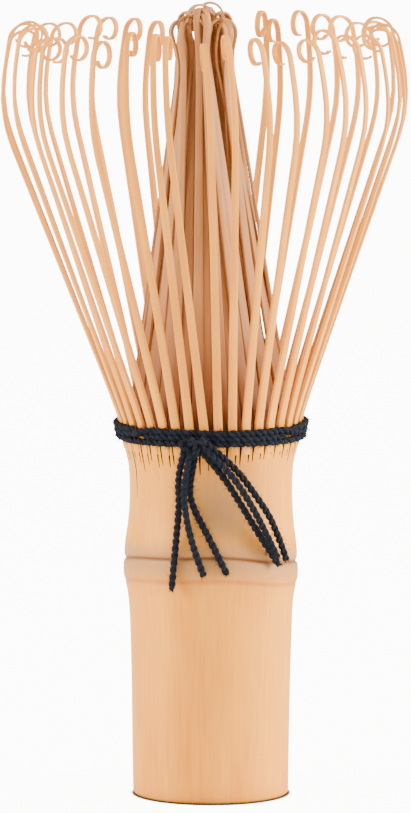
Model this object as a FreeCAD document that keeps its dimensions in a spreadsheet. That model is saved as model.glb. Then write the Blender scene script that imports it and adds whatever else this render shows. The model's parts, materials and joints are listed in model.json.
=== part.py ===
"""A bamboo tea whisk (chasen): one bamboo culm whose end is split into two rings of springy
tines, an outer cage with curled tips and an inner cone, held apart by a wound cotton thread.

Frame: millimetres, +Z up, origin at the centre of the flat foot, the thread's knot towards -Y.
"""
import FreeCAD, Part
import math
import os
import Sketcher

VECTOR = FreeCAD.Vector
X_AXIS = VECTOR(1, 0, 0)
Z_AXIS = VECTOR(0, 0, 1)

# Every driving size, in millimetres or degrees, under the name that the features use.
SIZES = {
    # handle: the culm from its foot to the waist above its node
    "foot_radius": 11.5,
    "foot_bevel": 0.5,
    "grip_radius": 11.7,
    "grip_height": 15.0,
    "shoulder_radius": 12.0,
    "shoulder_height": 26.5,
    "node_height": 31.5,
    "node_radius": 12.85,
    "node_length": 3.3,
    "node_bevel": 0.3,
    "waist_radius": 12.0,
    "waist_height": 42.5,
    "waist_length": 3.5,
    "waist_curve": 60.0,
    "socket_radius": 8.2,
    "socket_depth": 31.0,
    "septum": 2.2,
    "cup_radius": 9.3,
    # crown: where the culm's wall is split into the two rings of tine stubs
    "split_height": 50.6,
    "split_outer_radius": 12.65,
    "split_radius": 12.1,
    "split_inner_radius": 11.3,
    "hinge_height": 56.6,
    "crown_radius": 13.9,
    "stub_thick": 0.7,
    "weave_gap": 1.15,
    "slit_width": 0.12,
    "slit_depth": 3.6,
    "cut_margin": 1.0,
    # both rings of tines
    "tines_per_ring": 40,
    "root_gap": 0.1,
    # outer tines
    "outer_width": 1.25,
    "outer_tip_width": 0.8,
    "outer_thick": 0.6,
    "outer_lean": 20.0,
    "outer_straight": 43.2,
    "belly_radius": 20.0,
    "belly_turn": 43.2,
    "lip_radius": 3.6,
    "lip_turn": 66.8,
    "curl_radius": 1.9,
    "curl_turn": 228.0,
    # inner tines
    "inner_width": 1.0,
    "inner_thick": 0.65,
    "inner_top": 115.6,
    "inner_tip_width": 0.6,
    "inner_tip_thick": 0.4,
    "tip_radius": 1.7,
    "tip_step": 1.1,
    # thread
    "thread": 0.85,
    "thread_height": 53.4,
    "weave_thread": 0.42,
    "thread_fit": 0.02,
    "knot_half_width": 2.2,
    "knot_half_height": 1.4,
    "knot_half_depth": 0.9,
    "knot_azimuth": 260.0,
    "knot_height": 53.2,
}
CROWN_SLITS = 8
INNER_GROUPS = 8
# The inner tips crowd together, so one in four ends on each of four rings about the axis.
TIP_RINGS = (0, 2, 1, 3)
THREAD_ROUNDS = ("lower", "middle", "upper")
# How much of the shorter run beside a bend of a loose end its arc may use up.
BEND_SHARE = 0.45
VOLUME_TOLERANCE = 0.01

# The six loose ends of the thread, three each side of the knot, as they hang over the handle.
TAIL_ROUTES = {
    "left_1": [(-3.9, -15.0, 52.6), (-4.9, -14.6, 49.2), (-4.6, -13.0, 44.6), (-5.2, -12.6, 38.2),
               (-5.75, -12.6, 32.0)],
    "left_2": [(-3.0, -15.3, 52.6), (-3.8, -15.6, 49.0), (-4.0, -14.4, 44.8), (-2.8, -13.6, 38.6),
               (-1.1, -13.6, 34.2)],
    "left_3": [(-2.2, -14.9, 52.6), (-2.8, -14.4, 49.6), (-3.3, -13.0, 45.4), (-0.6, -13.0, 40.2),
               (2.3, -13.4, 34.4)],
    "right_1": [(-1.7, -15.0, 53.0), (1.6, -15.2, 49.3), (4.3, -13.5, 44.7), (7.0, -11.9, 40.0),
                (9.85, -9.9, 35.3)],
    "right_2": [(-1.6, -15.2, 53.6), (2.6, -16.4, 50.0), (5.6, -14.8, 45.2), (7.9, -13.0, 40.6),
                (9.7, -11.6, 36.6)],
    "right_3": [(-1.5, -15.1, 54.4), (3.0, -15.5, 51.0), (6.8, -13.5, 45.6), (9.4, -11.5, 41.2),
                (11.0, -9.6, 36.0)],
}

doc = FreeCAD.newDocument("TeaWhisk")
sheet = doc.addObject("Spreadsheet::Sheet", "Sizes")
parts = []


def fill_sheet():
    """Put every driving size in the sheet, each cell under its own alias."""
    for row, (name, value) in enumerate(SIZES.items(), start=1):
        sheet.set(f"A{row}", name)
        sheet.set(f"B{row}", str(value))
        sheet.setAlias(f"B{row}", name)
    doc.recompute()


def bound(expression):
    """The expression with each size's name pointing into the sheet."""
    words = []
    word = ""
    for letter in expression + " ":
        if letter.isalnum() or letter == "_":
            word += letter
            continue
        words.append("Sizes." + word if word in SIZES else word)
        words.append(letter)
        word = ""
    return "".join(words).strip()


def size(expression):
    """The number that an expression in the sizes' names stands for."""
    value = sheet.evalExpression(expression)
    return float(getattr(value, "Value", value))


def bind(target, **expressions):
    """Bind properties of an object to expressions in the sizes' names."""
    for name, expression in expressions.items():
        target.setExpression(name.replace("__", "."), bound(expression))


def new_body(label):
    """A PartDesign body that is one node of the whisk."""
    body = doc.addObject("PartDesign::Body", label)
    body.Label = label
    return body


def new_sketch(body, name, plane, height="0", turn="0"):
    """A sketch on one of the body's origin planes, raised along and turned about its normal."""
    sketch = body.newObject("Sketcher::SketchObject", name)
    support = next(item for item in body.Origin.OriginFeatures if item.Role == plane)
    sketch.AttachmentSupport = [(support, "")]
    sketch.MapMode = "FlatFace"
    sketch.AttachmentOffset = FreeCAD.Placement(
        VECTOR(0, 0, size(height)), FreeCAD.Rotation(Z_AXIS, size(turn)))
    if height != "0":
        bind(sketch, AttachmentOffset__Base__z=height)
    return sketch


def place_point(sketch, edge, end, across, up):
    """Hold one end of an edge at a place given by two expressions."""
    for kind, axis, expression in (("DistanceX", -2, across), ("DistanceY", -1, up)):
        if expression == "0":
            sketch.addConstraint(Sketcher.Constraint("PointOnObject", edge, end, axis))
            continue
        held = Sketcher.Constraint(kind, -1, 1, edge, end, size(expression))
        index = sketch.addConstraint(held)
        sketch.setExpression(f"Constraints[{index}]", bound(expression))


def draw_outline(sketch, corners):
    """Draw a closed outline. A corner is (across, up), or (across, up, radius) where the edge that
    leaves it is an arc whose centre lies on the right of the way along the outline."""
    places = [VECTOR(size(corner[0]), size(corner[1]), 0) for corner in corners]
    for number, corner in enumerate(corners):
        start = places[number]
        end = places[(number + 1) % len(corners)]
        if len(corner) == 2:
            edge = sketch.addGeometry(Part.LineSegment(start, end))
            first, last = 1, 2
        else:
            radius = size(corner[2])
            along = end - start
            aside = VECTOR(along.y, -along.x, 0).normalize()
            centre = (start + end) / 2 + aside * math.sqrt(radius**2 - along.Length**2 / 4)
            angles = [math.atan2(at.y - centre.y, at.x - centre.x) for at in (end, start)]
            circle = Part.Circle(centre, Z_AXIS, radius)
            edge = sketch.addGeometry(Part.ArcOfCircle(circle, *angles))
            first, last = 2, 1
            held = sketch.addConstraint(Sketcher.Constraint("Radius", edge, radius))
            sketch.setExpression(f"Constraints[{held}]", bound(corner[2]))
        place_point(sketch, edge, first, *corner[:2])
        if number:
            sketch.addConstraint(Sketcher.Constraint("Coincident", edge - 1, before, edge, first))
        else:
            opening = first
        before = last
    sketch.addConstraint(Sketcher.Constraint("Coincident", edge, last, 0, opening))


def draw_slot(sketch, near, far, width):
    """Draw a rectangle that lies along and evenly across the sketch's first axis."""
    half = size(width) / 2
    corners = [VECTOR(size(near), -half, 0), VECTOR(size(far), -half, 0),
               VECTOR(size(far), half, 0), VECTOR(size(near), half, 0)]
    for number in range(4):
        sketch.addGeometry(Part.LineSegment(corners[number], corners[(number + 1) % 4]))
    for number in range(4):
        follows = Sketcher.Constraint("Coincident", number, 2, (number + 1) % 4, 1)
        sketch.addConstraint(follows)
    sketch.addConstraint(Sketcher.Constraint("Symmetric", 0, 1, 3, 1, -1))
    sketch.addConstraint(Sketcher.Constraint("Symmetric", 1, 1, 2, 1, -1))
    for edge, expression in ((0, near), (1, far)):
        held = Sketcher.Constraint("DistanceX", -1, 1, edge, 1, size(expression))
        index = sketch.addConstraint(held)
        sketch.setExpression(f"Constraints[{index}]", bound(expression))
    index = sketch.addConstraint(Sketcher.Constraint("DistanceY", 1, 1, 1, 2, size(width)))
    sketch.setExpression(f"Constraints[{index}]", bound(width))


def cut(body, sketch, name, depth, upwards=False, copies=1):
    """Pocket a sketch into the body, and repeat the pocket evenly about Z."""
    pocket = body.newObject("PartDesign::Pocket", name)
    pocket.Profile = sketch
    pocket.Type = "Length"
    pocket.Reversed = upwards
    bind(pocket, Length=depth)
    if copies == 1:
        body.Tip = pocket
        return
    pattern = body.newObject("PartDesign::PolarPattern", name + "_ring")
    pattern.Originals = [pocket]
    axis = next(item for item in body.Origin.OriginFeatures if item.Role == "Z_Axis")
    pattern.Axis = (axis, [""])
    pattern.Angle = 360
    pattern.Occurrences = copies
    body.Tip = pattern


# Sizes that several features share, worked out from the driving ones.
NODE_TOP = "node_height + node_length"
SEPTUM_TOP = "socket_depth + septum"
OUTER_STUB_IN = "crown_radius - stub_thick"
INNER_STUB_OUT = "crown_radius - stub_thick - weave_gap"
INNER_STUB_IN = "crown_radius - 2 * stub_thick - weave_gap"
ROOT_HEIGHT = "hinge_height + root_gap"
OUTER_ROOT = "crown_radius - stub_thick / 2"
INNER_ROOT = "crown_radius - 1.5 * stub_thick - weave_gap"
STUB_HEIGHT = "hinge_height - split_height"
FLARE = "(crown_radius - split_outer_radius) / (hinge_height - split_height)"
HALF_PITCH = "180 / tines_per_ring"


def make_handle():
    """The culm: hollow from below, closed at its node, and split into stubs round its crown."""
    body = new_body("handle")
    outline = new_sketch(body, "culm_outline", "XZ_Plane")
    draw_outline(outline, [
        ("0", "socket_depth"),
        ("socket_radius", "socket_depth"),
        ("socket_radius", "0"),
        ("foot_radius - foot_bevel", "0"),
        ("foot_radius", "foot_bevel"),
        ("grip_radius", "grip_height"),
        ("shoulder_radius", "shoulder_height"),
        ("node_radius - node_bevel", "node_height"),
        ("node_radius", "node_height + node_bevel"),
        ("node_radius", NODE_TOP + " - node_bevel"),
        ("node_radius - node_bevel", NODE_TOP, "waist_curve"),
        ("waist_radius", "waist_height"),
        ("waist_radius", "waist_height + waist_length"),
        ("split_outer_radius", "split_height"),
        ("crown_radius", "hinge_height"),
        (OUTER_STUB_IN, "hinge_height"),
        ("split_radius", "split_height"),
        (INNER_STUB_OUT, "hinge_height"),
        (INNER_STUB_IN, "hinge_height"),
        ("split_inner_radius", "split_height"),
        ("cup_radius", "waist_height"),
        ("cup_radius", SEPTUM_TOP),
        ("0", SEPTUM_TOP),
    ])
    culm = body.newObject("PartDesign::Revolution", "culm")
    culm.Profile = outline
    culm.ReferenceAxis = (outline, ["V_Axis"])
    culm.Angle = 360
    body.Tip = culm
    tines = int(size("tines_per_ring"))
    half_gap = "(pi * crown_radius / tines_per_ring - outer_width / 2)"
    outer_gap = new_sketch(body, "outer_gap", "XY_Plane", "split_height")
    draw_slot(outer_gap, "split_radius", "crown_radius + cut_margin", "2 * " + half_gap)
    cut(body, outer_gap, "outer_gaps", STUB_HEIGHT + " + cut_margin", upwards=True, copies=tines)
    half_space = "(pi * split_radius / tines_per_ring - inner_width / 2)"
    inner_gap = new_sketch(body, "inner_gap", "XY_Plane", "split_height", HALF_PITCH)
    draw_slot(inner_gap, "split_inner_radius - cut_margin", "split_radius", "2 * " + half_space)
    cut(body, inner_gap, "inner_gaps", STUB_HEIGHT + " + cut_margin", upwards=True, copies=tines)
    slit = new_sketch(body, "slit", "XY_Plane", "split_height", HALF_PITCH)
    draw_slot(slit, "cup_radius", "crown_radius", "slit_width")
    cut(body, slit, "slits", "slit_depth", copies=CROWN_SLITS)
    return body


def draw_tine_path(sketch):
    """Draw an outer tine's middle line: straight up its lean, then round three tangent arcs."""
    lean = math.radians(90 - size("outer_lean"))
    start = VECTOR(size(OUTER_ROOT), size(ROOT_HEIGHT), 0)
    here = start + VECTOR(math.cos(lean), math.sin(lean), 0) * size("outer_straight")
    sketch.addGeometry(Part.LineSegment(start, here))
    place_point(sketch, 0, 1, OUTER_ROOT, ROOT_HEIGHT)
    slope = sketch.addConstraint(Sketcher.Constraint("Angle", 0, lean))
    sketch.setExpression(f"Constraints[{slope}]", bound("(90 - outer_lean) * 1 deg"))
    length = sketch.addConstraint(Sketcher.Constraint("Distance", 0, size("outer_straight")))
    sketch.setExpression(f"Constraints[{length}]", bound("outer_straight"))
    heading = lean
    for edge, bend in enumerate(("belly", "lip", "curl"), start=1):
        radius = size(bend + "_radius")
        turn = math.radians(size(bend + "_turn"))
        centre = here + VECTOR(-math.sin(heading), math.cos(heading), 0) * radius
        begin = heading - math.pi / 2
        circle = Part.Circle(centre, Z_AXIS, radius)
        sketch.addGeometry(Part.ArcOfCircle(circle, begin, begin + turn))
        heading += turn
        here = centre + VECTOR(math.sin(heading), -math.cos(heading), 0) * radius
        sketch.addConstraint(Sketcher.Constraint("Tangent", edge - 1, 2, edge, 1))
        held = sketch.addConstraint(Sketcher.Constraint("Radius", edge, radius))
        sketch.setExpression(f"Constraints[{held}]", bound(bend + "_radius"))
        span = sketch.addConstraint(Sketcher.Constraint("Angle", edge, turn))
        sketch.setExpression(f"Constraints[{span}]", bound(bend + "_turn * 1 deg"))


def make_outer_tine(number):
    """One springy slat of the cage, swept up its middle line and then narrowed to its tip."""
    body = new_body(f"outer_tine_{number:02d}")
    section = new_sketch(body, "section", "XY_Plane", ROOT_HEIGHT)
    draw_slot(section, OUTER_ROOT + " - outer_thick / 2", OUTER_ROOT + " + outer_thick / 2",
              "outer_width")
    path = new_sketch(body, "path", "XZ_Plane")
    draw_tine_path(path)
    doc.recompute()
    slat = body.newObject("PartDesign::AdditivePipe", "slat")
    slat.Profile = section
    slat.Spine = (path, ["Edge1", "Edge2", "Edge3", "Edge4"])
    slat.Mode = "Standard"
    slat.Transition = "Transformed"
    taper = new_sketch(body, "taper", "YZ_Plane")
    beyond = "outer_width"
    top = "inner_top + outer_width"
    draw_outline(taper, [("outer_width / 2", ROOT_HEIGHT), (beyond, ROOT_HEIGHT), (beyond, top),
                         ("outer_tip_width / 2", top)])
    flank = body.newObject("PartDesign::Pocket", "flank")
    flank.Profile = taper
    flank.Type = "ThroughAll"
    flank.Reversed = True
    both = body.newObject("PartDesign::Mirrored", "both_flanks")
    both.Originals = [flank]
    middle = next(item for item in body.Origin.OriginFeatures if item.Role == "XZ_Plane")
    both.MirrorPlane = (middle, [""])
    body.Tip = both
    azimuth = (number - 0.5) * 360 / size("tines_per_ring")
    body.Placement = FreeCAD.Placement(VECTOR(), FreeCAD.Rotation(Z_AXIS, azimuth))
    return body


def make_inner_tine(number):
    """One straight slat of the inner cone, tapered both ways and leaning in to its own ring."""
    slat = doc.addObject("Part::Wedge", f"inner_tine_{number:02d}")
    ring = TIP_RINGS[number % len(TIP_RINGS)]
    tip = f"(tip_radius + {ring} * tip_step)"
    bind(slat, Xmin=INNER_ROOT + " - inner_thick / 2", Xmax=INNER_ROOT + " + inner_thick / 2",
         X2min=tip + " - inner_tip_thick / 2", X2max=tip + " + inner_tip_thick / 2",
         Ymin=ROOT_HEIGHT, Ymax="inner_top",
         Zmin="-inner_width / 2", Zmax="inner_width / 2",
         Z2min="-inner_tip_width / 2", Z2max="inner_tip_width / 2")
    azimuth = number * 360 / size("tines_per_ring")
    upright = FreeCAD.Rotation(X_AXIS, 90)
    turned = FreeCAD.Rotation(Z_AXIS, azimuth).multiply(upright)
    slat.Placement = FreeCAD.Placement(VECTOR(), turned)
    return slat


def make_inner_group(number):
    """Five neighbouring inner tines, which bend as one."""
    each = int(size("tines_per_ring")) // INNER_GROUPS
    group = doc.addObject("Part::Compound", f"inner_tines_{number:02d}")
    first = (number - 1) * each
    group.Links = [make_inner_tine(first + step) for step in range(each)]
    return group


def thread_height(number):
    """The height of the middle of one of the outside rounds of thread."""
    return f"(thread_height + {number} * thread)"


def round_radius(height):
    """The radius at which a round of thread at this height lies against the flared stubs."""
    return (f"(split_outer_radius + {FLARE} * ({height} - split_height)"
            f" + thread / 2 * sqrt(1 + ({FLARE})^2) + thread_fit)")


def make_rounds():
    """The thread: three rounds outside the crown and one woven round between its two rings."""
    for number, name in enumerate(THREAD_ROUNDS):
        height = thread_height(number)
        turn = doc.addObject("Part::Torus", f"thread_round_{name}")
        bind(turn, Radius1=round_radius(height), Radius2="thread / 2", Placement__Base__z=height)
        parts.append(turn)
    weave = doc.addObject("Part::Torus", "thread_weave")
    spread = f"((crown_radius - stub_thick - split_radius) / ({STUB_HEIGHT}))"
    lean_in = f"((split_radius - ({INNER_STUB_OUT})) / ({STUB_HEIGHT}))"
    rise = f"((weave_thread + 2 * thread_fit) / ({spread} + {lean_in}))"
    bind(weave, Radius1=f"split_radius + ({spread} - {lean_in}) / 2 * {rise}",
         Radius2="weave_thread / 2", Placement__Base__z=f"split_height + {rise}")
    parts.append(weave)


def make_knot():
    """The knot that ties the thread's ends, a flattened ball against the rounds."""
    knot = doc.addObject("Part::Ellipsoid", "thread_knot")
    reach = round_radius(thread_height(len(THREAD_ROUNDS) - 1))
    away = f"({reach} + thread / 2 + thread_fit + knot_half_depth)"
    bind(knot, Radius1="knot_half_height", Radius2="knot_half_depth", Radius3="knot_half_width",
         Placement__Base__x=f"{away} * cos(knot_azimuth * 1 deg)",
         Placement__Base__y=f"{away} * sin(knot_azimuth * 1 deg)",
         Placement__Base__z="knot_height")
    turned = FreeCAD.Rotation(Z_AXIS, size("knot_azimuth"))
    knot.Placement = FreeCAD.Placement(knot.Placement.Base, turned)
    parts.append(knot)
    return knot


def thread_path(points):
    """Straight runs joined by tangent arcs as large as the runs allow, and the arcs' radii."""
    places = [VECTOR(*point) for point in points]
    edges = []
    radii = []
    here = places[0]
    for before, corner, after in zip(places, places[1:], places[2:]):
        back = before - corner
        ahead = after - corner
        setback = BEND_SHARE * min(back.Length, ahead.Length)
        back.normalize()
        ahead.normalize()
        half_turn = (math.pi - back.getAngle(ahead)) / 2
        radius = setback / math.tan(half_turn)
        start = corner + back * setback
        end = corner + ahead * setback
        inward = (back + ahead).normalize()
        crown = corner + inward * (radius / math.cos(half_turn) - radius)
        edges.append(Part.LineSegment(here, start).toShape())
        edges.append(Part.Arc(start, crown, end).toShape())
        radii.append(round(radius, 1))
        here = end
    edges.append(Part.LineSegment(here, places[-1]).toShape())
    return Part.Wire(edges), radii


def make_tail(name, points, knot):
    """One loose end of the thread: a round tube along its route, from the knot's surface."""
    path, radii = thread_path(points)
    radius = size("thread") / 2
    start = VECTOR(*points[0])
    outline = Part.Wire(Part.makeCircle(radius, start, VECTOR(*points[1]) - start))
    tube = path.makePipeShell([outline], True, True)
    expected = math.pi * radius**2 * path.Length
    if abs(tube.Volume / expected - 1) > VOLUME_TOLERANCE:
        raise ValueError(f"thread tail {name} came out at the wrong volume")
    print(f"thread_tail_{name}: {path.Length:.1f} mm long, bend radii {radii}")
    tail = doc.addObject("Part::Feature", f"thread_tail_{name}")
    tail.Shape = tube.cut(knot.Shape)
    parts.append(tail)


def check_document():
    """Stop if any object failed to build."""
    for item in doc.Objects:
        if "Invalid" in item.State or "Error" in item.State:
            raise RuntimeError(f"{item.Label} failed: {item.getStatusString()}")


def export_parts():
    """Check each sub-part's shape, then write each to its own STEP file."""
    for item in parts:
        if item.Shape.isNull() or not item.Shape.isValid():
            raise RuntimeError(f"{item.Label} has no valid shape")
    os.makedirs("parts", exist_ok=True)
    for item in parts:
        item.Shape.exportStep(os.path.join("parts", item.Label + ".step"))
        solids = len(item.Shape.Solids)
        print(f"{item.Label}: {solids} solid(s), {item.Shape.Volume:.2f} mm3")


def main():
    fill_sheet()
    parts.append(make_handle())
    for number in range(int(size("tines_per_ring"))):
        parts.append(make_outer_tine(number + 1))
    for number in range(INNER_GROUPS):
        parts.append(make_inner_group(number + 1))
    make_rounds()
    knot = make_knot()
    doc.recompute()
    for name, points in TAIL_ROUTES.items():
        make_tail(name, points, knot)
    check_document()
    export_parts()


main()
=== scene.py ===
"""A bamboo tea whisk: a turned-looking culm handle whose end is split into two rings of slats,
an outer cage curled in at the tips and an inner cone, bound by dark twisted cotton thread."""
import json
import math
import random

import bpy
from mathutils import Matrix, Vector, noise


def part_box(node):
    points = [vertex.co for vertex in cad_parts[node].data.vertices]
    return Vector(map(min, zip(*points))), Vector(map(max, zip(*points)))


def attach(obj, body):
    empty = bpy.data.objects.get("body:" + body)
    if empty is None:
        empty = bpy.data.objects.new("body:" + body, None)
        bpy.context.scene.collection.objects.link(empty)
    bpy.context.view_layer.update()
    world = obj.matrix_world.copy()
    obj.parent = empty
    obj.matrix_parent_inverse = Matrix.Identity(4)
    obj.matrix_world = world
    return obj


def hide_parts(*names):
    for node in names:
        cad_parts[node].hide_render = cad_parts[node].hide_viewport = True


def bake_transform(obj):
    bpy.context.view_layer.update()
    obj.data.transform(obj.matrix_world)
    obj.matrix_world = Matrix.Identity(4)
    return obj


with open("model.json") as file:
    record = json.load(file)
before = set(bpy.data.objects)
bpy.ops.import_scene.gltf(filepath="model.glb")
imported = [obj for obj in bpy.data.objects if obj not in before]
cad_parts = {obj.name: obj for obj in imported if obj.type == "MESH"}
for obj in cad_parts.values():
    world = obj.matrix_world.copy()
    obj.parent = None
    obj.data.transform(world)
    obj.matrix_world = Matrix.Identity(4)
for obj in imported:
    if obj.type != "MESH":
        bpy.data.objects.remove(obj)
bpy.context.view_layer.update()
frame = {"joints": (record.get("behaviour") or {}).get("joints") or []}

MM = 0.001
TURN = 2 * math.pi
UP = Vector((0, 0, 1))
rng = random.Random(7)

JOINTS = {joint["child"]: joint for joint in frame["joints"]}
OUTER = sorted(name for name in JOINTS if name.startswith("outer_tine"))
INNER = sorted(name for name in JOINTS if name.startswith("inner_tines"))

# Sizes of the culm, in millimetres, with heights from the foot up.
SOCKET_RADIUS = 8.2
SOCKET_DEPTH = 31.0
SEPTUM_TOP = 33.2
NODE_LOW = 31.5
NODE_TOP = 34.8
CROWN_TOP = 52.9
CROWN_FLARE_FOOT = 50.6
CROWN_FLARE_RADIUS = 12.65
CROWN_FLARE_SLOPE = 0.208

# The slits between the tines' roots: how far each is from its tine's middle, where they end
# and the one long split with its own end.
SLIT_ASIDE = math.radians(2.95)
SLIT_LOW = 50.8
DEEP_SLIT = math.radians(-157)
DEEP_SLIT_REACH = math.radians(2.6)
DEEP_SLIT_LOW = 44.6
SLIT_RADIUS = 12.3
SLIT_DEPTH = 2.6
SLIT_WIDTH = 0.5

# A slat's width and thickness at its root, then at its tip.
OUTER_SLAT = (1.34, 0.62, 0.8, 0.36)
INNER_SLAT = (1.86, 0.62, 0.8, 0.34)

# The steps in which a slat is drawn out from its root, shorter where it bends more.
OUTER_STEPS = [3.0, 2.0] + [4.0] * 11 + [1.5] * 10 + [0.4] * 32
INNER_STEPS = [3.0, 2.2] + [5.0] * 9 + [1.0] * 8 + [0.5] * 12

# The inner tines end on four rings about the axis, in this order round it. They lean in by
# about the inner lean, and each ring further out ends lower by the ring drop.
TIP_RINGS = (0, 2, 1, 3)
TIP_RADIUS = 1.7
TIP_STEP = 0.88
RING_DROP = 0.5
INNER_TOP = 114.7
INNER_LEAN = 9
INNER_SWAY = 0.6
SLATS_PER_GROUP = 5
HEAD_LEAN = math.radians(-0.9)

# An outer tine's middle line, in millimetres and degrees. A bend is (radius, turn).
OUTER_LEAN = 20.4
OUTER_STRAIGHT = 42.9
BELLY = (20.0, 27.0)
NECK = (60.0, 5.0)
LIP = (2.7, 78.0)
CURL = (1.8, 228.0)

# How far an outer tine leans sideways, in degrees, and how that changes round the crown.
SWAY = 2.3
SWAY_BY_QUARTER = 1.6
SWAY_BY_SIDE = 0.45

# The thread is two plies. The shares are of the thread's thickness.
THREAD = 0.85
THREAD_LOW = 53.4
PLY_TURN = 2.1
POINTS_PER_TURN = 9
PLY_OFFSET = 0.22
PLY_RADIUS = 0.31
HAIR_ROOT = 0.42
HAIR = 0.034

# The upper two rounds change places this many degrees to either side of the knot.
CROSSING_MIDDLE = 4
CROSSING_ASIDE = 52
CROSSING_LENGTH = 5
CROSSING_DONE = 0.999

# The camera and the light, in metres and degrees.
SENSOR_HEIGHT = 24
CAMERA_DISTANCE = 1.1
CAMERA_TILT = 6.8
VIEW_HEIGHT = 0.1197
# A painted shadow on the floor where the foot stands: a dark ring just round it, shifted forwards.
CONTACT_SHADOW_INNER = 0.0115
CONTACT_SHADOW_OUTER = 0.0121
CONTACT_SHADOW_FORWARD = 0.0008
WARM_WHITE = (1.0, 0.86, 0.66)
ROOM_GLOW = 1.3
BACKDROP_GLOW = 10.5
SKY_OVER_FLOOR = 1.3

# The loose ends' routes, in millimetres, from the knot down.
TAILS = {
    "left_1": [(-3.9, -15.0, 52.6), (-4.9, -14.6, 49.2), (-4.6, -13.0, 44.6), (-5.2, -12.6, 38.2),
               (-5.75, -12.6, 32.0)],
    "left_2": [(-3.0, -15.3, 52.6), (-3.8, -15.6, 49.0), (-4.0, -14.4, 44.8), (-2.8, -13.6, 38.6),
               (-1.1, -13.6, 34.2)],
    "left_3": [(-2.2, -14.9, 52.6), (-2.8, -14.4, 49.6), (-3.3, -13.0, 45.4), (-0.6, -13.0, 40.2),
               (2.3, -13.4, 34.4)],
    "right_1": [(-1.7, -15.0, 53.0), (1.6, -15.2, 49.3), (4.3, -13.5, 44.7), (7.0, -11.9, 40.0),
                (9.85, -9.9, 35.3)],
    "right_2": [(-1.6, -15.2, 53.6), (2.6, -16.4, 50.0), (5.6, -14.8, 45.2), (7.9, -13.0, 40.6),
                (9.7, -11.6, 36.6)],
    "right_3": [(-1.5, -15.1, 54.4), (3.0, -15.5, 51.0), (6.8, -13.5, 45.6), (9.4, -11.5, 41.2),
                (11.0, -9.6, 36.0)],
}


# ---------------------------------------------------------------- handling

def clear_selection():
    """Leave edit mode and deselect everything."""
    if bpy.context.object and bpy.context.object.mode != "OBJECT":
        bpy.ops.object.mode_set(mode="OBJECT")
    bpy.ops.object.select_all(action="DESELECT")


def pick(piece):
    """Make one object the only one selected, and the active one."""
    clear_selection()
    piece.select_set(True)
    bpy.context.view_layer.objects.active = piece


def named(piece, name):
    piece.name = name
    piece.data.name = name
    return piece


def settle(piece):
    """Put the piece's place into its mesh and leave its object at the origin."""
    pick(piece)
    bpy.ops.object.transform_apply(location=True, rotation=True, scale=True)


def apply_modifier(piece, kind, **values):
    """Add a modifier with these values and apply it."""
    pick(piece)
    modifier = piece.modifiers.new(kind.title(), kind)
    for name, value in values.items():
        setattr(modifier, name, value)
    bpy.ops.object.modifier_apply(modifier=modifier.name)


def join(pieces, name):
    """Join several objects into the first."""
    clear_selection()
    for piece in pieces:
        piece.select_set(True)
    bpy.context.view_layer.objects.active = pieces[0]
    bpy.ops.object.join()
    return named(pieces[0], name)


def face_outwards(piece):
    """Merge doubles and turn every face outwards."""
    pick(piece)
    bpy.ops.object.mode_set(mode="EDIT")
    bpy.ops.mesh.select_all(action="SELECT")
    bpy.ops.mesh.remove_doubles(threshold=1e-6)
    bpy.ops.mesh.normals_make_consistent(inside=False)
    bpy.ops.object.mode_set(mode="OBJECT")


def smooth(piece, degrees=35):
    pick(piece)
    bpy.ops.object.shade_smooth_by_angle(angle=math.radians(degrees))


def hold(piece, body, material, slot, *nodes):
    """Ride the piece on a body, give it its material and hide the nodes it stands for."""
    piece.data.materials.clear()
    piece.data.materials.append(material)
    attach(piece, body)
    if nodes:
        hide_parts(*nodes)
    return piece


# ---------------------------------------------------------------- materials

def socket(group, name, kind, way, value=None):
    made = group.interface.new_socket(name, in_out=way, socket_type=kind)
    if value is not None:
        made.default_value = value
    return made


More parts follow.
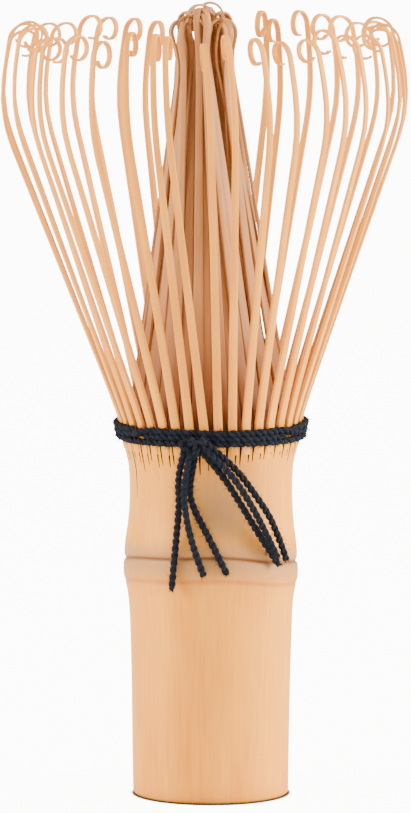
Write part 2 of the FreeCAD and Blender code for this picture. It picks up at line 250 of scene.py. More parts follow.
def make_fibre_group():
    """Lengthwise fibres: fine streaks along Z of the vector it is given, and broad mottling."""
    group = bpy.data.node_groups.new("bamboo_fibre", "ShaderNodeTree")
    socket(group, "Vector", "NodeSocketVector", "INPUT")
    socket(group, "Pale", "NodeSocketColor", "INPUT", (0.8, 0.6, 0.4, 1))
    socket(group, "Dark", "NodeSocketColor", "INPUT", (0.5, 0.3, 0.2, 1))
    socket(group, "Fine Scale", "NodeSocketFloat", "INPUT", 5000.0)
    socket(group, "Broad Scale", "NodeSocketFloat", "INPUT", 400.0)
    socket(group, "Color", "NodeSocketColor", "OUTPUT")
    socket(group, "Streaks", "NodeSocketFloat", "OUTPUT")
    nodes, links = group.nodes, group.links
    given = nodes.new("NodeGroupInput")
    out = nodes.new("NodeGroupOutput")
    stretch = nodes.new("ShaderNodeVectorMath")
    stretch.operation = "MULTIPLY"
    stretch.inputs[1].default_value = (1.0, 1.0, 0.035)
    links.new(given.outputs["Vector"], stretch.inputs[0])
    fine = nodes.new("ShaderNodeTexNoise")
    fine.inputs["Detail"].default_value = 4.0
    fine.inputs["Roughness"].default_value = 0.6
    links.new(stretch.outputs[0], fine.inputs["Vector"])
    links.new(given.outputs["Fine Scale"], fine.inputs["Scale"])
    squeeze = nodes.new("ShaderNodeVectorMath")
    squeeze.operation = "MULTIPLY"
    squeeze.inputs[1].default_value = (1.0, 1.0, 0.25)
    links.new(given.outputs["Vector"], squeeze.inputs[0])
    broad = nodes.new("ShaderNodeTexNoise")
    broad.inputs["Detail"].default_value = 3.0
    links.new(squeeze.outputs[0], broad.inputs["Vector"])
    links.new(given.outputs["Broad Scale"], broad.inputs["Scale"])
    sum_up = nodes.new("ShaderNodeMath")
    sum_up.operation = "MULTIPLY_ADD"
    sum_up.inputs[1].default_value = 0.55
    links.new(broad.outputs["Fac"], sum_up.inputs[0])
    half = nodes.new("ShaderNodeMath")
    half.operation = "MULTIPLY"
    half.inputs[1].default_value = 0.45
    links.new(fine.outputs["Fac"], half.inputs[0])
    links.new(half.outputs[0], sum_up.inputs[2])
    spread = nodes.new("ShaderNodeMapRange")
    spread.inputs["From Min"].default_value = 0.32
    spread.inputs["From Max"].default_value = 0.68
    links.new(sum_up.outputs[0], spread.inputs["Value"])
    mix = nodes.new("ShaderNodeMix")
    mix.data_type = "RGBA"
    links.new(spread.outputs["Result"], mix.inputs["Factor"])
    links.new(given.outputs["Dark"], mix.inputs["A"])
    links.new(given.outputs["Pale"], mix.inputs["B"])
    links.new(mix.outputs["Result"], out.inputs["Color"])
    links.new(fine.outputs["Fac"], out.inputs["Streaks"])
    return group


FIBRE = make_fibre_group()


def plain_material(name, roughness):
    """A material with its Principled shader, ready for its pattern."""
    material = bpy.data.materials.new(name)
    material.use_nodes = True
    shader = material.node_tree.nodes["Principled BSDF"]
    shader.inputs["Roughness"].default_value = roughness
    return material, material.node_tree.nodes, material.node_tree.links, shader


def bump(nodes, links, shader, height, strength, distance):
    """Feed a height into the shader's normal."""
    raised = nodes.new("ShaderNodeBump")
    raised.inputs["Strength"].default_value = strength
    raised.inputs["Distance"].default_value = distance
    links.new(height, raised.inputs["Height"])
    links.new(raised.outputs["Normal"], shader.inputs["Normal"])


def fibre_node(nodes, links, vector, pale, dark, fine, broad):
    node = nodes.new("ShaderNodeGroup")
    node.node_tree = FIBRE
    node.inputs["Pale"].default_value = (*pale, 1)
    node.inputs["Dark"].default_value = (*dark, 1)
    node.inputs["Fine Scale"].default_value = fine
    node.inputs["Broad Scale"].default_value = broad
    links.new(vector, node.inputs["Vector"])
    return node


def band_mask(nodes, links, position, axis, centre, reach):
    """1 at a place along an axis and 0 further from it than the reach."""
    split = nodes.new("ShaderNodeSeparateXYZ")
    links.new(position, split.inputs[0])
    away = nodes.new("ShaderNodeMath")
    away.operation = "SUBTRACT"
    away.inputs[1].default_value = centre
    links.new(split.outputs[axis], away.inputs[0])
    size = nodes.new("ShaderNodeMath")
    size.operation = "ABSOLUTE"
    links.new(away.outputs[0], size.inputs[0])
    mask = nodes.new("ShaderNodeMapRange")
    mask.interpolation_type = "SMOOTHSTEP"
    mask.inputs["From Min"].default_value = 0.0
    mask.inputs["From Max"].default_value = reach
    mask.inputs["To Min"].default_value = 1.0
    mask.inputs["To Max"].default_value = 0.0
    links.new(size.outputs[0], mask.inputs["Value"])
    return mask.outputs["Result"]


def shade(nodes, links, colour, mask, tint, amount, blend="MULTIPLY"):
    """Blend a colour with a tint where the mask says so."""
    scale = nodes.new("ShaderNodeMath")
    scale.operation = "MULTIPLY"
    scale.inputs[1].default_value = amount
    links.new(mask, scale.inputs[0])
    mix = nodes.new("ShaderNodeMix")
    mix.data_type = "RGBA"
    mix.blend_type = blend
    mix.inputs["B"].default_value = (*tint, 1)
    links.new(scale.outputs[0], mix.inputs["Factor"])
    links.new(colour, mix.inputs["A"])
    return mix.outputs["Result"]


def make_culm_skin():
    """The handle's skin: warm tan with lengthwise fibres, darker lines at its node and a greyer
    patch of painted shade on the front of its waist, under the overhanging cage and behind the
    loose ends. Heights are the culm's own, from before its node was tilted."""
    material, nodes, links, shader = plain_material("culm_skin", 0.45)
    level = nodes.new("ShaderNodeAttribute")
    level.attribute_name = "level"
    place = level.outputs["Vector"]
    fibre = fibre_node(nodes, links, place, (0.9, 0.4, 0.035), (0.7, 0.25, 0.015), 2600.0, 170.0)
    colour = fibre.outputs["Color"]
    # Painted shade: the front of the waist, under the cage and behind the loose ends, is mixed
    # towards a greyer brown.
    front = band_mask(nodes, links, place, "Y", -0.012, 0.012)
    for axis, centre, reach in (("Z", 0.043, 0.011), ("X", 0.0015, 0.0105)):
        patch = nodes.new("ShaderNodeMath")
        patch.operation = "MULTIPLY"
        links.new(band_mask(nodes, links, place, axis, centre, reach), patch.inputs[0])
        links.new(front, patch.inputs[1])
        front = patch.outputs[0]
    colour = shade(nodes, links, colour, front, (0.37, 0.21, 0.1), 0.85, "MIX")
    ring = band_mask(nodes, links, place, "Z", 0.0345, 0.005)
    colour = shade(nodes, links, colour, ring, (0.36, 0.2, 0.105), 0.85, "MIX")
    line = band_mask(nodes, links, place, "Z", NODE_TOP * MM, 0.00055)
    colour = shade(nodes, links, colour, line, (0.4, 0.26, 0.2), 0.85)
    line = band_mask(nodes, links, place, "Z", NODE_LOW * MM, 0.0005)
    colour = shade(nodes, links, colour, line, (0.75, 0.5, 0.4), 0.6)
    links.new(colour, shader.inputs["Base Color"])
    shader.inputs["Specular IOR Level"].default_value = 0.2
    shader.inputs["Coat Weight"].default_value = 0.04
    shader.inputs["Coat Roughness"].default_value = 0.3
    bump(nodes, links, shader, fibre.outputs["Streaks"], 0.25, 0.00012)
    return material


def make_slat_bamboo(name, pale, dark, painted_root_shadow):
    """Split bamboo: the fibres run along the slat by its own grain attribute. Painted shade darkens
    it towards the thread by the painted root shadow, as the shadow deep between the rows of slats."""
    material, nodes, links, shader = plain_material(name, 0.5)
    grain = nodes.new("ShaderNodeAttribute")
    grain.attribute_name = "grain"
    fibre = fibre_node(nodes, links, grain.outputs["Vector"], pale, dark, 3200.0, 260.0)
    place = nodes.new("ShaderNodeTexCoord").outputs["Object"]
    # Painted shade: darker towards the thread, standing in for the slats shading each other there.
    root = band_mask(nodes, links, place, "Z", 0.052, 0.024)
    colour = shade(nodes, links, fibre.outputs["Color"], root, (0.3, 0.17, 0.1), painted_root_shadow)
    links.new(colour, shader.inputs["Base Color"])
    shader.inputs["Specular IOR Level"].default_value = 0.25
    bump(nodes, links, shader, fibre.outputs["Streaks"], 0.3, 0.00008)
    return material


def make_slit_shade_brown():
    """The faces inside the slits between the tines' roots, coloured dark brown as painted shade
    deep in the slits.
    """
    material, nodes, links, shader = plain_material("slit_shade_brown", 0.8)
    place = nodes.new("ShaderNodeTexCoord").outputs["Object"]
    fibre = fibre_node(nodes, links, place, (0.16, 0.07, 0.03), (0.05, 0.022, 0.012), 3000.0, 300.0)
    links.new(fibre.outputs["Color"], shader.inputs["Base Color"])
    return material


def make_cotton():
    """Dark navy cotton, finely speckled."""
    material, nodes, links, shader = plain_material("navy_cotton", 0.92)
    place = nodes.new("ShaderNodeTexCoord").outputs["Object"]
    speck = nodes.new("ShaderNodeTexNoise")
    speck.inputs["Scale"].default_value = 6000.0
    speck.inputs["Detail"].default_value = 5.0
    links.new(place, speck.inputs["Vector"])
    ramp = nodes.new("ShaderNodeValToRGB")
    ramp.color_ramp.elements[0].position = 0.35
    ramp.color_ramp.elements[0].color = (0.003, 0.005, 0.011, 1)
    ramp.color_ramp.elements[1].position = 0.75
    ramp.color_ramp.elements[1].color = (0.018, 0.025, 0.045, 1)
    links.new(speck.outputs["Fac"], ramp.inputs["Fac"])
    links.new(ramp.outputs["Color"], shader.inputs["Base Color"])
    shader.inputs["Specular IOR Level"].default_value = 0.12
    bump(nodes, links, shader, speck.outputs["Fac"], 0.6, 0.00006)
    return material


CULM_SKIN = make_culm_skin()
OUTER_BAMBOO = make_slat_bamboo("outer_slat_bamboo", (0.92, 0.43, 0.06), (0.72, 0.27, 0.03),
                                0.0)
# The inner slats get a darker, browner copy of the slat bamboo: painted shade for the inside of the
# cage.
INNER_SHADED_BAMBOO = make_slat_bamboo("inner_slat_bamboo_shaded", (0.55, 0.265, 0.095), (0.33, 0.145, 0.057),
                                1.0)
SLIT_SHADE_BROWN = make_slit_shade_brown()
COTTON = make_cotton()


# ---------------------------------------------------------------- slats

def make_slat(name, width, thick, tip_width, tip_thick, steps):
    """A straight slat along +X from x = 0, a rounded strip drawn out step by step.
    Its width lies along Z and its outer face towards -Y."""
    clear_selection()
    bpy.ops.mesh.primitive_plane_add(size=1.0, rotation=(0, math.radians(90), 0))
    slat = named(bpy.context.object, name)
    settle(slat)
    bpy.ops.object.mode_set(mode="EDIT")
    bpy.ops.mesh.select_all(action="SELECT")
    bpy.ops.transform.resize(value=(1, thick * MM, width * MM))
    bpy.ops.mesh.bevel(affect="VERTICES", offset=0.28 * thick * MM, segments=2)
    bpy.ops.mesh.select_all(action="SELECT")
    length = sum(steps)
    done = 0.0
    for step in steps:
        before = done / length
        done += step
        after = done / length
        wide = taper(tip_width / width, after) / taper(tip_width / width, before)
        deep = taper(tip_thick / thick, after) / taper(tip_thick / thick, before)
        bpy.ops.mesh.extrude_region_move(TRANSFORM_OT_translate={"value": (step * MM, 0, 0)})
        bpy.ops.transform.resize(value=(1, deep, wide))
    bpy.ops.object.mode_set(mode="OBJECT")
    face_outwards(slat)
    return slat


def taper(tip_share, along):
    """The share of its root size that a slat has this far along it."""
    return 1 + (tip_share - 1) * along


def middle_line(start, lean, straight, bends):
    """A slat's middle line in its own plane, as pairs of (outwards, up) in metres from its hinge.
    It rises from its start under the thread to the hinge, then follows its lean and its bends.
    A bend is (radius, turn) and turns inwards, or outwards where its radius is negative."""
    line = [Vector(start) * share for share in (1.0, 0.66, 0.33, 0.0)]
    heading = math.radians(90 - lean)
    here = Vector((0, 0))
    for _ in range(12):
        here = here + Vector((math.cos(heading), math.sin(heading))) * straight / 12
        line.append(here)
    for radius, turn in bends:
        count = max(3, round(turn / 8))
        step = math.copysign(math.radians(turn) / count, radius)
        chord = 2 * abs(radius * math.sin(step / 2))
        for _ in range(count):
            way = heading + step / 2
            here = here + Vector((math.cos(way), math.sin(way))) * chord
            heading += step
            line.append(here)
    return [point * MM for point in line]


def bend_slat(master, name, line):
    """A copy of the straight slat, bent along its middle line in the plane of X and Y."""
    slat = master.copy()
    slat.data = master.data.copy()
    bpy.context.collection.objects.link(slat)
    named(slat, name)
    path = bpy.data.curves.new(name + "_line", "CURVE")
    path.dimensions = "2D"
    spline = path.splines.new("POLY")
    spline.points.add(len(line) - 1)
    for point, place in zip(spline.points, line):
        point.co = (place.x, place.y, 0, 1)
    guide = bpy.data.objects.new(name + "_line", path)
    bpy.context.collection.objects.link(guide)
    length = sum((b - a).length for a, b in zip(line, line[1:]))
    reach = max(vertex.co.x for vertex in slat.data.vertices)
    shift = Vector((rng.random(), rng.random(), rng.random())) * 0.2
    grain = slat.data.attributes.new("grain", "FLOAT_VECTOR", "POINT")
    for entry, vertex in zip(grain.data, slat.data.vertices):
        vertex.co.x *= length / reach
        entry.vector = Vector((vertex.co.y, vertex.co.z, vertex.co.x)) + shift
    apply_modifier(slat, "CURVE", object=guide, deform_axis="POS_X")
    bpy.data.objects.remove(guide)
    bpy.data.curves.remove(path)
    return slat


def place_slat(slat, root, azimuth, sway, twist):
    """Stand the bent slat up at its hinge point, turned to its azimuth. Sway leans it sideways
    and twist turns it about its root. The whole head leans a little to the left."""
    stand = Matrix.Rotation(math.radians(90), 4, "X")
    side = Matrix.Rotation(math.radians(sway), 4, "X")
    spin = Matrix.Rotation(azimuth + math.radians(twist), 4, "Z")
    crown = Matrix.Translation(UP * CROWN_TOP * MM)
    head = crown @ Matrix.Rotation(HEAD_LEAN, 4, "Y") @ crown.inverted()
    slat.matrix_world = head @ Matrix.Translation(root) @ spin @ side @ stand
    settle(slat)


def bend_with(slat, body, material):
    """Give the slat its material, put its place into its mesh and hide the part it stands for."""
    slat.data.materials.clear()
    slat.data.materials.append(material)
    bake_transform(slat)
    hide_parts(body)


def make_outer_tines():
    """The forty springy slats of the cage, each standing for its own body, a little uneven in their
    lean, their bends and their length."""
    master = make_slat("outer_master", *OUTER_SLAT, OUTER_STEPS)
    for name in OUTER:
        pivot = Vector(JOINTS[name]["pos_m"])
        azimuth = math.atan2(pivot.y, pivot.x)
        lean = OUTER_LEAN + rng.uniform(-0.6, 0.6)
        belly = (BELLY[0] * rng.uniform(0.95, 1.05), BELLY[1] + rng.uniform(-2, 2))
        curl = (CURL[0] * rng.uniform(0.88, 1.05), CURL[1] + rng.uniform(-45, 30))
        straight = OUTER_STRAIGHT + rng.uniform(-0.4, 0.4)
        line = middle_line((-1.0, -5.0), lean, straight, (belly, NECK, LIP, curl))
        slat = bend_slat(master, name + "_slat", line)
        sway = SWAY - SWAY_BY_QUARTER * math.sin(2 * azimuth) - SWAY_BY_SIDE * math.cos(azimuth)
        sway += rng.gauss(0, 0.2)
        place_slat(slat, pivot, azimuth, sway, rng.gauss(0, 2))
        smooth(slat)
        bend_with(slat, name, OUTER_BAMBOO)
    bpy.data.objects.remove(master)


def make_inner_tines():
    """The forty slats of the inner cone, five to a body. Each leans in to its own ring, then
    flares and hooks over at its tip."""
    master = make_slat("inner_master", *INNER_SLAT, INNER_STEPS)
    number = 0
    for name in INNER:
        pivot = Vector(JOINTS[name]["pos_m"])
        root_radius = math.hypot(pivot.x, pivot.y)
        slats = []
        for _ in range(SLATS_PER_GROUP):
            azimuth = TURN * number / (SLATS_PER_GROUP * len(INNER))
            outward = Vector((math.cos(azimuth), math.sin(azimuth), 0))
            ring = TIP_RINGS[number % len(TIP_RINGS)]
            tip = TIP_RADIUS + ring * TIP_STEP
            flare = (-rng.uniform(9, 13), rng.uniform(24, 36))
            hook = (rng.uniform(1.6, 2.3), rng.uniform(115, 200))
            over = INNER_TOP - ring * RING_DROP + rng.uniform(-1.8, 0.6)
            opened = math.radians(flare[1] - INNER_LEAN)
            neck = over + flare[0] * math.sin(opened) - hook[0] * (1 + math.sin(opened))
            rise = neck - pivot.z / MM
            inwards = tip - root_radius / MM
            lean = math.degrees(math.atan2(inwards, rise))
            line = middle_line((0.0, -5.2), lean, math.hypot(rise, inwards), (flare, hook))
            slat = bend_slat(master, f"slat_{number}", line)
            root = outward * root_radius + UP * pivot.z
            place_slat(slat, root, azimuth, INNER_SWAY + rng.gauss(0, 0.7), rng.gauss(0, 5))
            smooth(slat)
            slats.append(slat)
            number += 1
        group = join(slats, name + "_slats")
        bend_with(group, name, INNER_SHADED_BAMBOO)
    bpy.data.objects.remove(master)


# ---------------------------------------------------------------- culm

def make_culm():
    """The handle: a ring of edges drawn down the socket, round the foot, up the outside, over the
    crown and down into the cup, then shaped at its node and split at its crown."""
    outline = [(SOCKET_RADIUS, 20.0), (SOCKET_RADIUS, 6.0), (SOCKET_RADIUS, 0.5), (8.4, 0.12),
               (8.7, 0.0), (11.1, 0.0), (11.32, 0.05), (11.44, 0.16), (11.5, 0.4), (11.53, 3.0),
               (11.6, 7.0), (11.66, 12.0), (11.72, 17.0), (11.86, 22.0), (12.0, 26.5),
               (12.15, 28.7), (12.35, 30.2), (12.55, 31.1), (12.53, 31.45), (12.7, 31.8),
               (12.83, 32.4), (12.87, 33.2), (12.85, 34.0), (12.77, 34.45), (12.48, 34.75),
               (12.55, 35.0), (12.7, 35.35), (12.7, 36.3), (12.56, 37.8), (12.27, 39.8),
               (12.08, 42.0), (12.0, 44.2), (12.02, 46.5), (12.15, 48.7), (12.4, 50.0),
               (12.65, 51.0), (12.85, 52.0), (13.0, CROWN_TOP), (11.45, CROWN_TOP), (11.3, 50.6),
               (10.3, 46.5), (9.6, 42.5), (9.4, 38.0), (9.3, 34.2), (8.7, SEPTUM_TOP)]
    clear_selection()
    bpy.ops.mesh.primitive_circle_add(vertices=240, radius=SOCKET_RADIUS * MM,
                                      location=(0, 0, SOCKET_DEPTH * MM))
    culm = named(bpy.context.object, "culm")
    settle(culm)
    bpy.ops.object.mode_set(mode="EDIT")
    bpy.ops.mesh.select_all(action="SELECT")
    bpy.ops.mesh.edge_face_add()
    radius, height = SOCKET_RADIUS, SOCKET_DEPTH
    for next_radius, next_height in outline:
        bpy.ops.mesh.extrude_edges_move()
        bpy.ops.transform.translate(value=(0, 0, (next_height - height) * MM))
        share = next_radius / radius
        bpy.ops.transform.resize(value=(share, share, 1))
        radius, height = next_radius, next_height
    bpy.ops.mesh.edge_face_add()
    bpy.ops.object.mode_set(mode="OBJECT")
    face_outwards(culm)
    culm.data.materials.append(CULM_SKIN)
    split_crown(culm)
    shape_culm(culm)
    smooth(culm, 40)
    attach(culm, "handle")
    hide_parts("handle")


def shape_culm(culm):
    """Give the culm its natural unevenness: a tilted, wavering node and a slightly uneven round.
    Each vertex keeps its place from before in the level attribute, which the skin reads."""
    level = culm.data.attributes.new("level", "FLOAT_VECTOR", "POINT")
    for entry, vertex in zip(level.data, culm.data.vertices):
        place = vertex.co
        entry.vector = place
        azimuth = math.atan2(place.y, place.x)
        at_node = math.exp(-((place.z / MM - 33.5) / 5) ** 2)
        tilt = -1.7 * math.sin(azimuth) - 0.35 * math.cos(azimuth)
        waver = 0.16 * math.sin(3 * azimuth) + 0.12 * math.cos(5 * azimuth + 0.5)
        if math.hypot(place.x, place.y) > 0.0112:
            place.z += (tilt + waver) * at_node * MM
        swell = 0.1 * noise.noise(Vector((place.x, place.y, place.z * 0.6)) / (9 * MM))
        share = 1 + swell * MM / 0.0118
        place.x *= share
        place.y *= share


def split_crown(culm):
    """Cut the slits between the tines' roots: narrow wedges of uneven length."""
    cutters = []
    for name in OUTER:
        pivot = Vector(JOINTS[name]["pos_m"])
        azimuth = math.atan2(pivot.y, pivot.x)
        for side in (-1, 1):
            at = azimuth + side * SLIT_ASIDE
            left = max(0.0, -math.cos(at - 0.6))
            low = SLIT_LOW - 0.9 * left + rng.gauss(0, 0.4)
            if rng.random() < 0.1:
                low -= rng.uniform(0.6, 1.8)
            if abs(wrap(at - DEEP_SLIT)) < DEEP_SLIT_REACH:
                low = DEEP_SLIT_LOW
            cutters.append(make_cutter(at, low))
    tool = join(cutters, "cutters")
    # The cut faces take the dark brown slit material: painted shade inside the slits.
    tool.data.materials.append(SLIT_SHADE_BROWN)
    apply_modifier(culm, "BOOLEAN", operation="DIFFERENCE", object=tool, solver="EXACT",
                   material_mode="TRANSFER")
    bpy.data.objects.remove(tool)


def make_cutter(azimuth, low):
    """A thin upright wedge across the crown's wall, pointed at its lower end."""
    tall = CROWN_TOP + 1 - low
    clear_selection()
    bpy.ops.mesh.primitive_cube_add(size=1.0)
    cutter = bpy.context.object
    cutter.scale = (SLIT_DEPTH * MM, SLIT_WIDTH * MM, tall * MM)
    settle(cutter)
    for vertex in cutter.data.vertices:
        if vertex.co.z < 0:
            vertex.co.y *= 0.25
    cutter.matrix_world = (Matrix.Rotation(azimuth, 4, "Z")
                           @ Matrix.Translation((SLIT_RADIUS * MM, 0, (low + tall / 2) * MM)))
    settle(cutter)
    return cutter


# ---------------------------------------------------------------- thread

def tube(name, points, radius, closed, sides):
    """A round tube through points, as a mesh."""
    line = bpy.data.curves.new(name, "CURVE")
    line.dimensions = "3D"
    line.bevel_depth = radius
    line.bevel_resolution = sides // 2 - 1
    line.use_fill_caps = True
    spline = line.splines.new("POLY")
    spline.points.add(len(points) - 1)
    for point, place in zip(spline.points, points):
        point.co = (*place, 1)
    spline.use_cyclic_u = closed
    piece = bpy.data.objects.new(name, line)
    bpy.context.collection.objects.link(piece)
    pick(piece)
    bpy.ops.object.convert(target="MESH")
    return bpy.context.object


def even_points(points, gap, closed):
    """Points a fixed distance apart along a line through the given points."""
    route = list(points) + ([points[0]] if closed else [])
    lengths = [0.0]
    for a, b in zip(route, route[1:]):
        lengths.append(lengths[-1] + (b - a).length)
    count = max(4, round(lengths[-1] / gap))
    placed = []
    leg = 0
    for number in range(count if closed else count + 1):
        along = lengths[-1] * number / count
        while leg < len(lengths) - 2 and lengths[leg + 1] < along:
            leg += 1
        share = (along - lengths[leg]) / max(lengths[leg + 1] - lengths[leg], 1e-9)
        placed.append(route[leg].lerp(route[leg + 1], share))
    return placed


def lay_thread(name, points, closed=False, thick=1.05, hairs_per_mm=11.0):
    """Two plies of cotton twisted round each other along a line, with loose fibres."""
    points = even_points(points, PLY_TURN / POINTS_PER_TURN * MM, closed)
    count = len(points)
    turns = round(count / POINTS_PER_TURN) if closed else count / POINTS_PER_TURN
    plies = ([], [])
    hairs = []
    side = None
    for number, place in enumerate(points):
        after = points[(number + 1) % count] if closed or number + 1 < count else place
        before = points[number - 1] if closed or number else place
        along = (after - before).normalized()
        if side is None:
            side = along.orthogonal().normalized()
        side = (side - along * side.dot(along)).normalized()
        other = along.cross(side)
        angle = TURN * turns * number / count
        loose = 1 + 0.12 * noise.noise(place * 900)
        for ply, phase in zip(plies, (0, math.pi)):
            off = side * math.cos(angle + phase) + other * math.sin(angle + phase)
            ply.append(place + off * PLY_OFFSET * thick * loose * MM)
        few = hairs_per_mm * PLY_TURN / POINTS_PER_TURN
        for _ in range(round(few + rng.uniform(-0.5, 0.5))):
            spread = rng.uniform(0, TURN)
            off = side * math.cos(spread) + other * math.sin(spread)
            hairs.append((place + off * HAIR_ROOT * thick * MM, off, along))
    pieces = [tube(name + "_ply", ply, PLY_RADIUS * thick * MM, closed, 6) for ply in plies]
    pieces += [grow_hair(*hair) for hair in hairs]
    return join(pieces, name)


def make_hair():
    """The pattern for every loose fibre: a three-sided sliver, one unit long, as thick up to its
    middle as at its root, and then drawn to a point."""
    clear_selection()
    bpy.ops.mesh.primitive_circle_add(vertices=3, radius=1.0, fill_type="NGON")
    hair = named(bpy.context.object, "hair")
    bpy.ops.object.mode_set(mode="EDIT")
    bpy.ops.mesh.select_all(action="SELECT")
    for _ in range(2):
        bpy.ops.mesh.extrude_region_move(TRANSFORM_OT_translate={"value": (0, 0, 0.5)})
    bpy.ops.mesh.merge(type="CENTER")
    bpy.ops.object.mode_set(mode="OBJECT")
    face_outwards(hair)
    return hair


FIBRE_SLIVER = make_hair()


def grow_hair(root, away, along):
    """One loose cotton fibre, a copy of the sliver with its point bent aside."""
    reach = rng.uniform(0.25, 0.9) * MM
    lie = along * rng.uniform(-1, 1) + away * rng.uniform(0.3, 1.1)
    bend = Vector((rng.gauss(0, 0.6), rng.gauss(0, 0.6), rng.gauss(0, 0.6)))
    hair = FIBRE_SLIVER.copy()
    hair.data = FIBRE_SLIVER.data.copy()
    point = max(hair.data.vertices, key=lambda vertex: vertex.co.z)
    thin = HAIR * MM
    turned = Matrix((along.cross(away) * thin, along * thin, lie * reach)).transposed().to_4x4()
    hair.data.transform(Matrix.Translation(root) @ turned)
    point.co += bend * reach * 0.5
    bpy.context.collection.objects.link(hair)
    return hair


def round_point(azimuth, number):
    """A point of one of the three outside rounds, which dips between the tines. The upper two
    change places at each side of the knot, one over the other."""
    lane = number
    lift = 0.0
    if number:
        aside = abs(math.degrees(wrap(azimuth + math.pi / 2)) - CROSSING_MIDDLE)
        front = 0.5 - 0.5 * math.tanh((aside - CROSSING_ASIDE) / CROSSING_LENGTH)
        if front <= CROSSING_DONE:
            lane = number * front + (3 - number) * (1 - front)
        if number == 2:
            lift = 0.55 * (4 * front * (1 - front))
    height = THREAD_LOW + lane * THREAD + 0.1 * math.sin(3 * azimuth + number)
    dip = 0.1 * math.cos(40 * (azimuth - math.pi / 40))
    wall = CROWN_FLARE_RADIUS + CROWN_FLARE_SLOPE * (height - CROWN_FLARE_FOOT)
    radius = wall + 0.38 * THREAD + dip + lift
    return Vector((radius * math.cos(azimuth), radius * math.sin(azimuth), height)) * MM


def wrap(angle):
    """The same angle between minus and plus half a turn."""
    return (angle + math.pi) % TURN - math.pi


def make_rounds():
    """The wound thread: three rounds outside the crown and one woven between its rings."""
    for number, name in enumerate(("lower", "middle", "upper")):
        points = [round_point(TURN * step / 480, number) for step in range(480)]
        turn = lay_thread("round_" + name, points, closed=True, thick=1.02)
        hold(turn, "handle", COTTON, "thread", "thread_round_" + name)
    low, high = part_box("thread_weave")
    radius = (high[0] - 0.21 * MM) / MM
    points = []
    for step in range(320):
        azimuth = TURN * step / 320
        out = radius + 0.05 * math.cos(40 * azimuth)
        points.append(Vector((out * math.cos(azimuth) * MM, out * math.sin(azimuth) * MM,
                              (low[2] + high[2]) / 2)))
    weave = lay_thread("weave", points, closed=True, thick=0.42, hairs_per_mm=1)
    hold(weave, "handle", COTTON, "thread", "thread_weave")


def make_knot():
    """The knot: one thread round itself in a flat trefoil, over a second, tighter turn."""
    low, high = (Vector(corner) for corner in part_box("thread_knot"))
    centre = (low + high) / 2
    outward = Vector((centre.x, centre.y, 0)).normalized()
    across = UP.cross(outward)
    points = []
    for step in range(120):
        t = TURN * step / 120
        wide = (math.sin(t) + 2 * math.sin(2 * t)) / 3 * 1.9
        tall = (math.cos(t) - 2 * math.cos(2 * t)) / 3 * 1.15
        deep = -math.sin(3 * t) * 0.42
        points.append(centre + (across * wide + UP * tall + outward * deep) * MM)
    bow = lay_thread("knot_bow", points, closed=True, thick=0.8)
    points = []
    for step in range(60):
        t = TURN * step / 60
        points.append(centre + (across * 0.5 * math.cos(t) + UP * 1.15 * math.sin(t)
                                + outward * (0.35 * math.cos(t) + 0.1)) * MM)
    core = lay_thread("knot_core", points, closed=True, thick=0.85)
    knot = join([bow, core], "knot")
    hold(knot, "handle", COTTON, "thread", "thread_knot")


def make_tails():
    """The six loose ends, each lying along its own smooth route with a frayed end."""
    for name, route in TAILS.items():
        line = bpy.data.curves.new(name, "CURVE")
        line.dimensions = "3D"
        spline = line.splines.new("NURBS")
        spline.points.add(len(route) - 1)
        for point, place in zip(spline.points, route):
            point.co = (*(Vector(place) * MM), 1)
        spline.order_u = 3
        spline.use_endpoint_u = True
        spline.resolution_u = 16
        guide = bpy.data.objects.new(name, line)
        bpy.context.collection.objects.link(guide)
        bpy.context.view_layer.update()
        drawn = bpy.data.meshes.new_from_object(guide)
        points = [vertex.co.copy() for vertex in drawn.vertices]
        bpy.data.objects.remove(guide)
        tail = lay_thread("tail_" + name, points)
        along = (points[-1] - points[-2]).normalized()
        side = along.orthogonal().normalized()
        other = along.cross(side)
        fray = []
        for _ in range(26):
            spread = rng.uniform(0, TURN)
            off = side * math.cos(spread) + other * math.sin(spread)
            root = points[-1] + off * rng.uniform(0.05, 0.4) * THREAD * MM
            fray.append(grow_hair(root, (along + off * 0.35).normalized(), off.cross(along)))
        tail = join([tail] + fray, "tail_" + name)
        hold(tail, "handle", COTTON, "thread", "thread_tail_" + name)


make_outer_tines()
make_inner_tines()
make_culm()
make_rounds()
make_knot()
make_tails()
bpy.data.objects.remove(FIBRE_SLIVER)


# ---------------------------------------------------------------- camera and light

def make_camera():
    """A long lens far off, a little above the whisk's middle."""
    view = bpy.data.cameras.new("camera")
    view.sensor_fit = "VERTICAL"
    view.sensor_height = SENSOR_HEIGHT
    view.lens = SENSOR_HEIGHT * CAMERA_DISTANCE / VIEW_HEIGHT
    eye = bpy.data.objects.new("camera", view)
    bpy.context.collection.objects.link(eye)
    target = Vector((-0.0008, 0, 0.0574))
    tilt = math.radians(CAMERA_TILT)
    eye.location = target + Vector((0, -math.cos(tilt), math.sin(tilt))) * CAMERA_DISTANCE
    eye.rotation_euler = (target - eye.location).to_track_quat("-Z", "Y").to_euler()
    bpy.context.scene.camera = eye


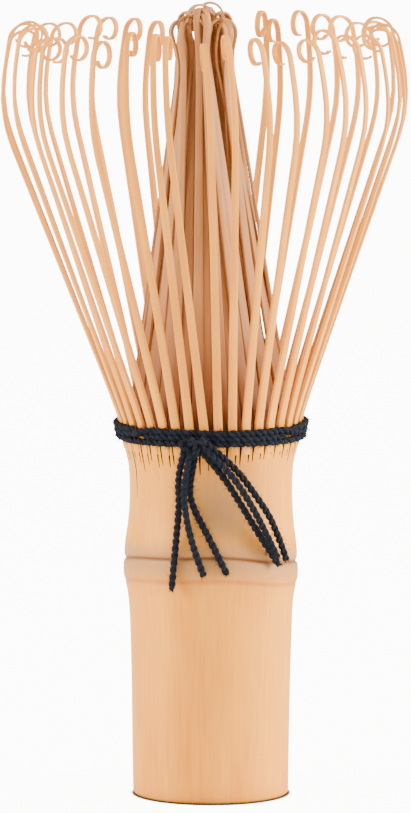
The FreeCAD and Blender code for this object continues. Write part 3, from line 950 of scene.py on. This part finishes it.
def make_floor():
    """A wide pale floor that glows white to the camera alone, with a painted shadow: a dark line
    close under the front of the foot."""
    clear_selection()
    bpy.ops.mesh.primitive_plane_add(size=8, location=(0, 0, 0))
    floor = named(bpy.context.object, "floor")
    material, nodes, links, shader = plain_material("floor_white", 0.9)
    shader.inputs["Emission Color"].default_value = (1, 1, 1, 1)
    place = nodes.new("ShaderNodeTexCoord").outputs["Object"]
    forward = nodes.new("ShaderNodeVectorMath")
    forward.operation = "ADD"
    forward.inputs[1].default_value = (0, CONTACT_SHADOW_FORWARD, 0)
    links.new(place, forward.inputs[0])
    distance = nodes.new("ShaderNodeVectorMath")
    distance.operation = "LENGTH"
    links.new(forward.outputs[0], distance.inputs[0])
    # Painted shadow: dark close round the foot, with no glow there.
    contact_shadow = nodes.new("ShaderNodeMapRange")
    contact_shadow.interpolation_type = "SMOOTHSTEP"
    contact_shadow.inputs["From Min"].default_value = CONTACT_SHADOW_INNER
    contact_shadow.inputs["From Max"].default_value = CONTACT_SHADOW_OUTER
    links.new(distance.outputs["Value"], contact_shadow.inputs["Value"])
    surface = nodes.new("ShaderNodeMix")
    surface.data_type = "RGBA"
    surface.inputs["A"].default_value = (0.04, 0.025, 0.018, 1)
    surface.inputs["B"].default_value = (0.9, 0.9, 0.9, 1)
    links.new(contact_shadow.outputs["Result"], surface.inputs["Factor"])
    links.new(surface.outputs["Result"], shader.inputs["Base Color"])
    seen = nodes.new("ShaderNodeMath")
    seen.operation = "MULTIPLY"
    seen.inputs[1].default_value = BACKDROP_GLOW
    links.new(nodes.new("ShaderNodeLightPath").outputs["Is Camera Ray"], seen.inputs[0])
    glow = nodes.new("ShaderNodeMath")
    glow.operation = "MULTIPLY"
    links.new(seen.outputs[0], glow.inputs[0])
    links.new(contact_shadow.outputs["Result"], glow.inputs[1])
    links.new(glow.outputs[0], shader.inputs["Emission Strength"])
    floor.data.materials.append(material)


def make_lights():
    """A soft warm room that the camera alone sees as white, and a softbox at each side that
    lights the whisk's flanks."""
    world = bpy.context.scene.world or bpy.data.worlds.new("world")
    bpy.context.scene.world = world
    world.use_nodes = True
    nodes, links = world.node_tree.nodes, world.node_tree.links
    room = nodes["Background"]
    room.inputs["Color"].default_value = (*WARM_WHITE, 1)
    room.inputs["Strength"].default_value = ROOM_GLOW
    backdrop = nodes.new("ShaderNodeBackground")
    backdrop.inputs["Strength"].default_value = BACKDROP_GLOW * SKY_OVER_FLOOR
    seen = nodes.new("ShaderNodeMixShader")
    links.new(nodes.new("ShaderNodeLightPath").outputs["Is Camera Ray"], seen.inputs["Fac"])
    links.new(room.outputs["Background"], seen.inputs[1])
    links.new(backdrop.outputs["Background"], seen.inputs[2])
    links.new(seen.outputs["Shader"], nodes["World Output"].inputs["Surface"])
    for name, place, power, extent in (("left_softbox", (-1.3, -0.25, 0.5), 42, 0.9),
                                       ("right_softbox", (1.3, -0.2, 0.45), 62, 0.9)):
        lamp = bpy.data.lights.new(name, "AREA")
        lamp.energy = power
        lamp.size = extent
        lamp.color = WARM_WHITE
        light = bpy.data.objects.new(name, lamp)
        bpy.context.collection.objects.link(light)
        light.location = place
        aim = Vector((0, 0, 0.06)) - light.location
        light.rotation_euler = aim.to_track_quat("-Z", "Y").to_euler()


make_camera()
make_floor()
make_lights()
